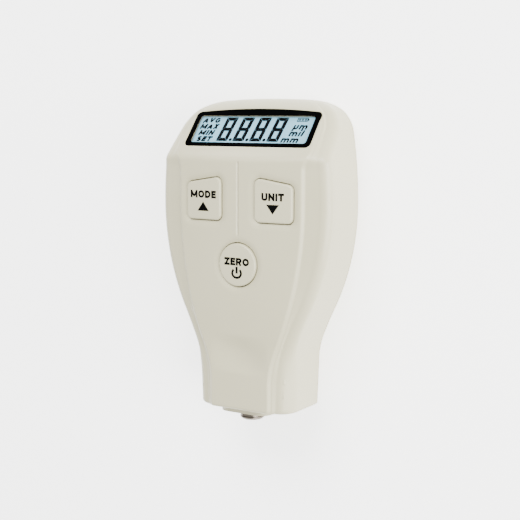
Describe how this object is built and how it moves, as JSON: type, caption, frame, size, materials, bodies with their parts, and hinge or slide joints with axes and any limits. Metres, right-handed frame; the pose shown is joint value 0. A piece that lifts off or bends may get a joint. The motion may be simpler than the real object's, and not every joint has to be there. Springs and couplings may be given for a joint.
{
  "type": "coating thickness gauge",
  "caption": "Pocket coating thickness gauge: ivory case with slanted display, press keys, sliding battery cover and a sprung metal probe in its narrow foot.",
  "frame": {"origin": "middle of the gauge's outline on the plane that its back rests on", "axes": "+X to the right of the front, +Y along the case to the display end, +Z out of the front"},
  "size_m": [0.061, 0.1008, 0.0278],
  "materials": {
    "case_plastic": "moulded ivory plastic, satin",
    "key_plastic": "ivory plastic, fine grain",
    "window_plate": "clear plate with a black printed border",
    "lcd_glass": "pale blue liquid crystal glass",
    "light_guide": "white light guide",
    "contact_rubber": "striped contact rubber",
    "circuit_board": "green solder mask",
    "cable_film": "flat cable film",
    "black_plastic": "black moulded plastic",
    "switch_plastic": "pale moulded plastic",
    "lead_jacket": "cable jacket",
    "cell_jacket": "plain cell sleeve",
    "plated_steel": "zinc plated steel",
    "bush_brass": "turned brass",
    "probe_nickel": "nickel plated, turned",
    "winding_wire": "enamelled copper wire",
    "core_steel": "ground steel"
  },
  "bodies": {
    "case": {"front_shell": "case_plastic", "rear_shell": "case_plastic", "display_window": "window_plate", "lcd_panel": "lcd_glass", "light_guide": "light_guide", "contact_strips": "contact_rubber", "display_board": "circuit_board", "display_screws": "plated_steel", "display_cable": "cable_film", "main_board": "circuit_board", "board_screws": "plated_steel", "key_switches": "black_plastic", "controller_chip": "black_plastic", "amplifier_chip": "black_plastic", "crystal_can": "plated_steel", "probe_connector": "switch_plastic", "probe_lead": "lead_jacket", "left_cell": "cell_jacket", "right_cell": "cell_jacket", "bridge_contact": "plated_steel", "negative_contact": "plated_steel", "positive_contact": "plated_steel", "battery_springs": "plated_steel", "case_screws": "plated_steel", "probe_bush": "bush_brass", "probe_housing": "black_plastic", "probe_spring": "plated_steel"},
    "mode_button": {"mode_key": "key_plastic", "mode_plunger": "switch_plastic"},
    "unit_button": {"unit_key": "key_plastic", "unit_plunger": "switch_plastic"},
    "zero_button": {"zero_key": "key_plastic", "zero_plunger": "switch_plastic"},
    "probe": {"probe_sleeve": "probe_nickel", "probe_bobbin": "black_plastic", "probe_winding": "winding_wire", "probe_core": "core_steel"},
    "cover": {"battery_cover": "case_plastic"}
  },
  "joints": [
    {"name": "mode_key_press", "type": "slide", "parent": "case", "child": "mode_button", "axis": [0, 0, -1], "range_m": [0, 0.0005], "stiffness_N_per_m": 3000},
    {"name": "unit_key_press", "type": "slide", "parent": "case", "child": "unit_button", "axis": [0, 0, -1], "range_m": [0, 0.0005], "stiffness_N_per_m": 3000},
    {"name": "zero_key_press", "type": "slide", "parent": "case", "child": "zero_button", "axis": [0, 0, -1], "range_m": [0, 0.0005], "stiffness_N_per_m": 3000},
    {"name": "probe_retract", "type": "slide", "parent": "case", "child": "probe", "axis": [0, 1, 0], "range_m": [0, 0.0025], "stiffness_N_per_m": 400, "springref_m": -0.002, "deforming": ["probe_spring"]},
    {"name": "battery_cover_slide", "type": "slide", "parent": "case", "child": "cover", "axis": [0, -1, 0], "range_m": [0, 0.04]}
  ]
}
